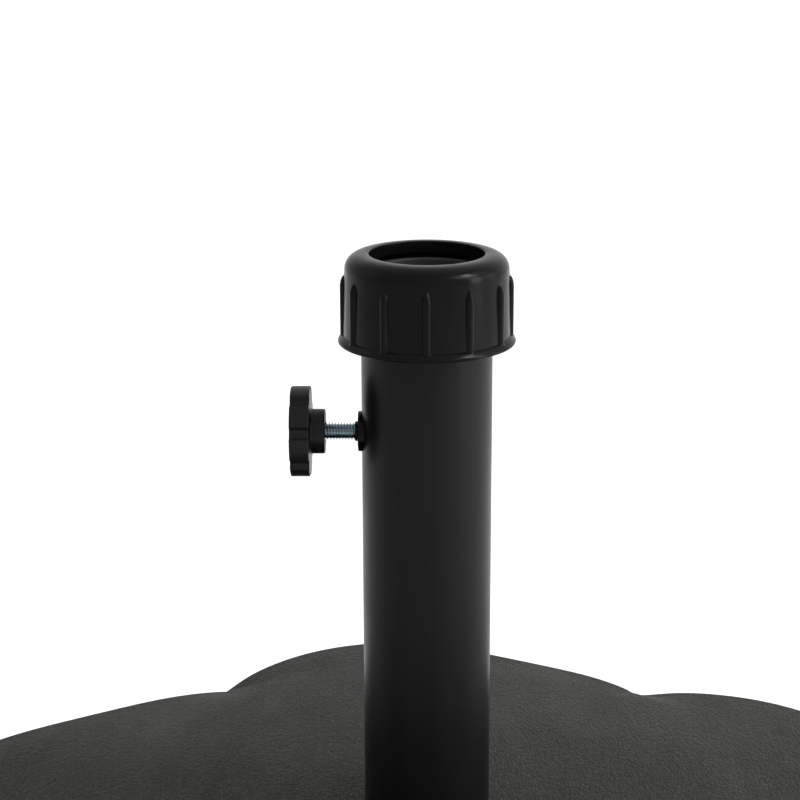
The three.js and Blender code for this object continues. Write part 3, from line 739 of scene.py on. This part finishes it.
def make_nut(material):
    """The collar nut: a soft shoulder round its hole, twelve half-round ribs and a flared foot."""
    bottom = low("cap_nut").z
    flange = high("cap_nut").x
    hole = 26.25 * MM
    body = 37.3 * MM
    body_foot = 38.0 * MM
    shoulder_width = 9.1 * MM
    shoulder_drop = 8.0 * MM
    squareness = 2 / 2.4
    cavity = 34.5 * MM
    rib_circle = 37.45 * MM
    rib_radius = 1.93 * MM
    rib_top = TOP - 10.4 * MM
    rib_full = TOP - 15.5 * MM
    blend = 0.14 * MM
    flare = bottom + 4.6 * MM
    angles = rib_angles()
    pitch = TAU / RIBS
    sideways = np.mod(angles + pitch / 2, pitch) - pitch / 2

    def ribbed(radius, height):
        if height > rib_top + 1 * MM or height < bottom + 1.4 * MM:
            return ring(radius, angles, height)
        rise = np.clip((height - rib_full) / (rib_top - rib_full), 0, 1)
        here = rib_radius * math.sqrt(max(1 - rise**1.7, 0))
        side = np.abs(radius * np.sin(sideways))
        crest = np.where(side < here, np.sqrt(np.maximum(here**2 - side**2, 0)), -4 * (side - here))
        crest = crest + rib_circle
        gap = radius - crest
        return ring((radius + crest + np.sqrt(gap**2 + blend**2)) / 2, angles, height)

    outer = [(flange - 1.0 * MM, bottom), (flange - 0.35 * MM, bottom + 0.15 * MM),
             (flange - 0.05 * MM, bottom + 0.5 * MM), (flange, bottom + 0.9 * MM),
             (flange - 0.12 * MM, bottom + 1.4 * MM), (flange - 0.5 * MM, bottom + 2.0 * MM),
             (flange - 1.0 * MM, bottom + 2.6 * MM), (flange - 1.5 * MM, bottom + 3.2 * MM),
             (body_foot + 0.15 * MM, bottom + 3.5 * MM), (body_foot, bottom + 3.65 * MM),
             (body_foot, flare)]
    start = TOP - shoulder_drop
    wall = [*np.linspace(flare + 2 * MM, rib_full - 0.5 * MM, 7), *np.linspace(rib_full, start, 15)]
    for height in wall:
        share = (height - flare) / (start - flare)
        outer.append((body_foot + (body - body_foot) * share, height))
    rows = [ribbed(radius, height) for radius, height in outer]
    for degrees in np.linspace(3, 90, 30):
        angle = math.radians(degrees)
        out = shoulder_width * (1 - math.cos(angle) ** squareness)
        rows.append(ribbed(body - out, start + shoulder_drop * math.sin(angle) ** squareness))
    lip = 0.4 * MM
    rows += round_edge(hole + lip, TOP - lip, lip, (110, 135, 160, 180), angles)
    lip_under = TOP - 5.5 * MM
    inside = [(hole, lip_under + 0.4 * MM), (hole + 0.4 * MM, lip_under), (29.5 * MM, lip_under),
              (30.4 * MM, lip_under - 1.2 * MM), (cavity, TOP - 14 * MM)]
    rows += [ring(radius, angles, height) for radius, height in inside]
    rows += [ring(cavity, angles, bottom + 0.6 * MM), ring(cavity + 0.6 * MM, angles, bottom)]
    nut = skin("ribbed_collar_nut", rows, True, 40)
    finish_piece(nut, "collar_nut", "satin_plastic", material, "cap_nut")


def make_clamp_ring(material):
    """The split, tapered ring under the nut's lip."""
    bottom, top = low("clamp_ring").z, high("clamp_ring").z
    bore = 25.3 * MM
    section = rounded([
        (31 * MM, bottom, 0.3 * MM), (31 * MM, bottom + 1.5 * MM, 0.5 * MM),
        (28.3 * MM, top, 0.7 * MM), (bore, top, 0.7 * MM), (bore, bottom, 0.4 * MM)], 4)
    split = 1.5 * MM / bore
    angles = np.linspace(split - math.pi / 2, TAU - split - math.pi / 2, 160)
    rows = [[(radius * math.cos(angle), radius * math.sin(angle), height)
             for radius, height in section] for angle in angles]
    clamp = skin("split_clamp_ring", rows, False)
    finish_piece(clamp, "clamp_ring_carrier", "satin_plastic", material, "clamp_ring")


def make_sleeve(material):
    """The sleeve on the post's top, with a coarse rounded thread for the nut."""
    bottom, top = low("threaded_sleeve").z, high("threaded_sleeve").z
    bore = POST_RADIUS + 0.3 * MM
    lip = 26.5 * MM
    seat = high("post_tube").z + 0.3 * MM
    angles = circle_angles(144)
    minor, major, pitch = 32.4 * MM, 33.7 * MM, 4 * MM
    rows = [ring(bore + 0.4 * MM, angles, bottom), ring(minor - 0.3 * MM, angles, bottom),
            ring(minor, angles, bottom + 0.3 * MM)]
    start, end = bottom + 1 * MM, top - 2.2 * MM
    for height in np.linspace(start, end, 66):
        wave = 0.5 - 0.5 * np.cos(TAU * (height / pitch - angles / TAU))
        fade_in = smoothstep(height, start, start + 2 * MM)
        fade_out = smoothstep(height, end - 2 * MM, end)
        fade = float(fade_in * (1 - fade_out))
        rows.append(ring(minor + (major - minor) * fade * wave**0.8, angles, height))
    rows += [ring(minor, angles, top - 1.6 * MM), ring(minor - 1.2 * MM, angles, top - 0.3 * MM),
             ring(minor - 1.6 * MM, angles, top), ring(lip + 0.5 * MM, angles, top),
             ring(lip, angles, top - 0.5 * MM), ring(lip, angles, seat), ring(bore, angles, seat),
             ring(bore, angles, bottom + 0.4 * MM)]
    sleeve = skin("post_thread_sleeve", rows, True)
    finish_piece(sleeve, "base", "satin_plastic", material, "threaded_sleeve")


# ---------------------------------------------------------------- clamp screw and knob

KNOB_LOBES = 8
KNOB_VALLEY = math.radians(13 - 90)


def knob_outline(angles):
    """A disc with a rounded scallop between each two lobes."""
    radius, circle, scallop, soft = 21 * MM, 21.8 * MM, 3.1 * MM, 0.55 * MM
    pitch = TAU / KNOB_LOBES
    offset = np.mod(angles - KNOB_VALLEY + pitch / 2, pitch) - pitch / 2
    sideways = np.abs(circle * np.sin(offset))
    edge = np.sqrt(np.maximum(scallop**2 - sideways**2, 0))
    valley = circle * np.cos(offset) - edge + 2 * np.maximum(sideways - scallop, 0)
    gap = valley - radius
    return (valley + radius - np.sqrt(gap**2 + soft**2)) / 2


def knob_angles():
    pitch = 360 / KNOB_LOBES
    half = [0, 1.2, 2.4, 3.5, 4.5, 5.4, 6.2, 6.9, 7.5, 8.1, 8.7, 9.4, 10.4, 12, 14.3, 17, 20]
    one = np.array([-value for value in reversed(half[1:])] + half)
    turn = math.degrees(KNOB_VALLEY)
    return np.radians(np.concatenate([turn + i * pitch + one for i in range(KNOB_LOBES)]))


def make_knob(material):
    """The star knob: a lobed disc with a gently domed face, a round hub and the screw's bore."""
    box_low, box_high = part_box("knob_body")
    face, hub_end = -box_low.x, -box_high.x
    disc_back = 53.5 * MM
    hub = 10.35 * MM
    bore = 4.15 * MM
    angles = knob_angles()
    outline = knob_outline(angles)
    dome, edge, back_edge, fillet = 0.25 * MM, 0.6 * MM, 0.7 * MM, 0.9 * MM
    flat = 19.5 * MM
    head = face - 7.6 * MM
    head_room = 7.9 * MM
    rows = []
    for share in (0.05, 0.2, 0.4, 0.6, 0.75, 0.88, 0.96):
        mixed = share * ((1 - share**3) * flat + share**3 * (outline - edge))
        rows.append(ring(mixed, angles, face - dome * share**2))
    rows += round_edge(outline - edge, face - dome - edge, edge, np.linspace(90, 0, 8), angles)
    rows += round_edge(outline - back_edge, disc_back + back_edge, back_edge, np.linspace(0, -90, 6), angles)
    rows.append(ring(14 * MM, angles, disc_back))
    rows += round_edge(hub + fillet, disc_back - fillet, fillet, np.linspace(90, 180, 6), angles)
    rows += round_edge(hub - fillet, hub_end + fillet, fillet, np.linspace(0, -90, 5), angles)
    rows += [ring(bore + 1.2 * MM, angles, hub_end), ring(bore, angles, hub_end + 1.0 * MM)]
    rows += [ring(bore, angles, head), ring(head_room, angles, head)]
    rows.append(ring(head_room, angles, face - 1.8 * MM))
    knob = skin("star_knob", rows, False, 38)
    along_clamp(knob)
    finish_piece(knob, "clamp_knob", "satin_plastic", material, "knob_body")


def make_clamp_screw(material):
    """The clamp screw: a hexagon head moulded into the knob and a rolled thread."""
    box_low, box_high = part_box("clamp_screw")
    crown, tip = -box_low.x, -box_high.x
    seat = crown - 5.2 * MM
    major, minor, pitch = 4.05 * MM, 3.1 * MM, 1.38 * MM
    tip_radius, tip_chamfer = 3.0 * MM, 0.2 * MM
    angles = circle_angles(72)
    rows = hex_head_rows(angles, 13 * MM, crown, seat)
    rows.append(ring(3.6 * MM, angles, seat))
    thread = thread_rows(angles, tip, seat - 0.4 * MM, major, minor, pitch, 16)
    for i, share in enumerate((0.0, 0.35, 0.7)):
        thread[i] = ring(tip_radius + share * tip_chamfer, angles, tip + share * tip_chamfer)
    rows += thread[::-1]
    screw = skin("threaded_clamp_screw", rows, False, 50)
    along_clamp(screw)
    finish_piece(screw, "clamp_knob", "zinc_steel", material, "clamp_screw")


def make_pad(material):
    box_low, box_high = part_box("pressure_pad")
    outer, inner = -box_low.x, -box_high.x
    corners = [(0, inner, 0), (3.3 * MM, inner, 0.6 * MM), (3.3 * MM, outer, 0.3 * MM), (0, outer, 0)]
    pad = lathe("pole_pad", corners, 48, 4, True)
    along_clamp(pad)
    finish_piece(pad, "screw_tip", "satin_plastic", material, "pressure_pad")


def make_bush(material):
    """The flanged bush in the post's wall. Its flange and its inner collar follow the tube."""
    nose_end = -low("screw_bush").x
    flange = high("screw_bush").y
    bore, nose, stem, collar = 4.2 * MM, 4.6 * MM, 5.8 * MM, 7.2 * MM
    inner_end = 26.4 * MM
    outside = POST_RADIUS + 0.08 * MM
    inside = POST_RADIUS - 1.5 * MM - 0.08 * MM
    angles = circle_angles(96)

    def seated(radius, on):
        """A row that lies on the tube, whose axis is this frame's X."""
        return ring(radius, angles, np.sqrt(on**2 - (radius * np.sin(angles)) ** 2))

    face = nose_end - 1.4 * MM
    rows = [
        ring(bore, angles, nose_end - 0.3 * MM), ring(bore + 0.3 * MM, angles, nose_end),
        ring(nose - 0.25 * MM, angles, nose_end), ring(nose, angles, nose_end - 0.25 * MM),
        ring(nose, angles, face + 0.3 * MM), ring(nose + 0.3 * MM, angles, face),
        ring(flange - 0.7 * MM, angles, face), ring(flange - 0.3 * MM, angles, face - 0.08 * MM),
        ring(flange - 0.08 * MM, angles, face - 0.3 * MM), ring(flange, angles, face - 0.7 * MM),
        seated(flange, outside), seated(stem + 0.4 * MM, outside), seated(stem, outside),
        seated(stem, inside), seated(collar - 0.3 * MM, inside),
        seated(collar, inside) - np.array((0, 0, 0.3 * MM)),
        ring(collar - 0.4 * MM, angles, inner_end), ring(bore + 0.3 * MM, angles, inner_end),
        ring(bore, angles, inner_end + 0.3 * MM),
    ]
    bush = skin("screw_flange_bush", rows, True, 34)
    along_clamp(bush)
    finish_piece(bush, "base", "satin_plastic", material, "screw_bush")


# ---------------------------------------------------------------- studio


FLOOR_GAP = 0.4 * MM


def make_floor():
    mesh = bpy.data.meshes.new("floor")
    body = bmesh.new()
    half = 20.0
    corners = [(-half, -half), (half, -half), (half, half), (-half, half)]
    body.faces.new([body.verts.new((x, y, -FLOOR_GAP)) for x, y in corners])
    body.to_mesh(mesh)
    body.free()
    floor = bpy.data.objects.new("floor", mesh)
    bpy.context.scene.collection.objects.link(floor)
    paint = Paint("pale_floor", (0.86, 0.86, 0.86), 0.9)
    paint.shader.inputs["Emission Color"].default_value = (1, 1, 1, 1)
    paint.shader.inputs["Emission Strength"].default_value = 0.13
    floor.data.materials.append(paint.material)


def area_light(name, place, target, size, power, colour=(1, 1, 1)):
    data = bpy.data.lights.new(name, "AREA")
    data.shape = "RECTANGLE"
    data.size, data.size_y = size
    data.energy = power
    data.color = colour
    light = bpy.data.objects.new(name, data)
    light.location = place
    way = Vector(target) - Vector(place)
    light.rotation_euler = way.to_track_quat("-Z", "Y").to_euler()
    bpy.context.scene.collection.objects.link(light)


def make_world():
    """A white studio, a little brighter to the right of the object."""
    world = bpy.data.worlds.new("studio")
    world.use_nodes = True
    tree = world.node_tree
    background = tree.nodes["Background"]
    background.inputs["Color"].default_value = (1, 1, 1, 1)
    place = tree.nodes.new("ShaderNodeTexCoord")
    parts = tree.nodes.new("ShaderNodeSeparateXYZ")
    tree.links.new(place.outputs["Generated"], parts.inputs["Vector"])
    span = tree.nodes.new("ShaderNodeMapRange")
    span.inputs["From Min"].default_value = -0.2
    span.inputs["From Max"].default_value = 0.6
    span.inputs["To Min"].default_value = 0.88
    span.inputs["To Max"].default_value = 1.22
    tree.links.new(parts.outputs["X"], span.inputs["Value"])
    tree.links.new(span.outputs["Result"], background.inputs["Strength"])
    bpy.context.scene.world = world


def make_lights():
    """Softboxes above, to the left and mostly to the right, where two of them stand low."""
    post = (0, 0, TOP / 2)
    nut = (0, 0, TOP - 40 * MM)
    cool = (0.94, 0.97, 1.0)
    area_light("top_softbox", (0, 0.3, 2.2), post, (1.8, 1.4), 2)
    area_light("left_softbox", (-1.7, 0.1, 1.2), post, (1.0, 1.5), 1.8, (1.0, 0.98, 0.94))
    area_light("right_softbox", (1.7, -0.1, 1.2), post, (1.0, 1.5), 3.9, cool)
    area_light("key_softbox", (1.65, -0.72, 1.2), nut, (0.6, 0.7), 6)
    area_light("high_key_softbox", (1.45, -0.6, 1.75), nut, (0.35, 0.45), 11)
    area_light("low_softbox", (1.5, -0.5, 0.45), post, (0.5, 0.7), 8.5, cool)
    area_light("low_side_softbox", (1.6, 0.25, 0.45), post, (0.5, 0.7), 2, cool)
    area_light("right_floor_light", (1.1, -0.6, 1.2), (1.0, -0.6, 0), (0.8, 0.8), 11, cool)


# ---------------------------------------------------------------- scene

make_camera()

GRAINED = grained_plastic()
SATIN = satin_plastic("satin_plastic", (0.0025, 0.0026, 0.0024), 0.20, 0.07)
KNOB_PLASTIC = satin_plastic("knob_plastic", (0.0060, 0.0060, 0.0057), 0.34, 0.11)
PAD_PLASTIC = satin_plastic("pad_plastic", (0.022, 0.021, 0.020), 0.45, 0.2)
COATED = coated_steel()
ZINC = zinc_plate()
GALVANISED = galvanised_steel()
RUBBER = soft_rubber()
PAN = pan_plastic()
CONCRETE = cast_concrete()

make_cover(GRAINED)
make_pan(PAN)
make_feet(RUBBER)
make_pan_screws(ZINC)
make_post(COATED)
make_seal(RUBBER)
make_end_plug(ZINC)
make_anchor(ZINC)
make_nut(SATIN)
make_clamp_ring(PAD_PLASTIC)
make_sleeve(SATIN)
make_knob(KNOB_PLASTIC)
make_clamp_screw(ZINC)
make_pad(PAD_PLASTIC)
make_bush(SATIN)

for node, material in (("ballast_block", CONCRETE), ("post_cup", GALVANISED)):
    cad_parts[node].data.materials.clear()
    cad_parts[node].data.materials.append(material)

make_floor()
make_world()
make_lights()
bpy.context.scene.view_settings.view_transform = "Standard"
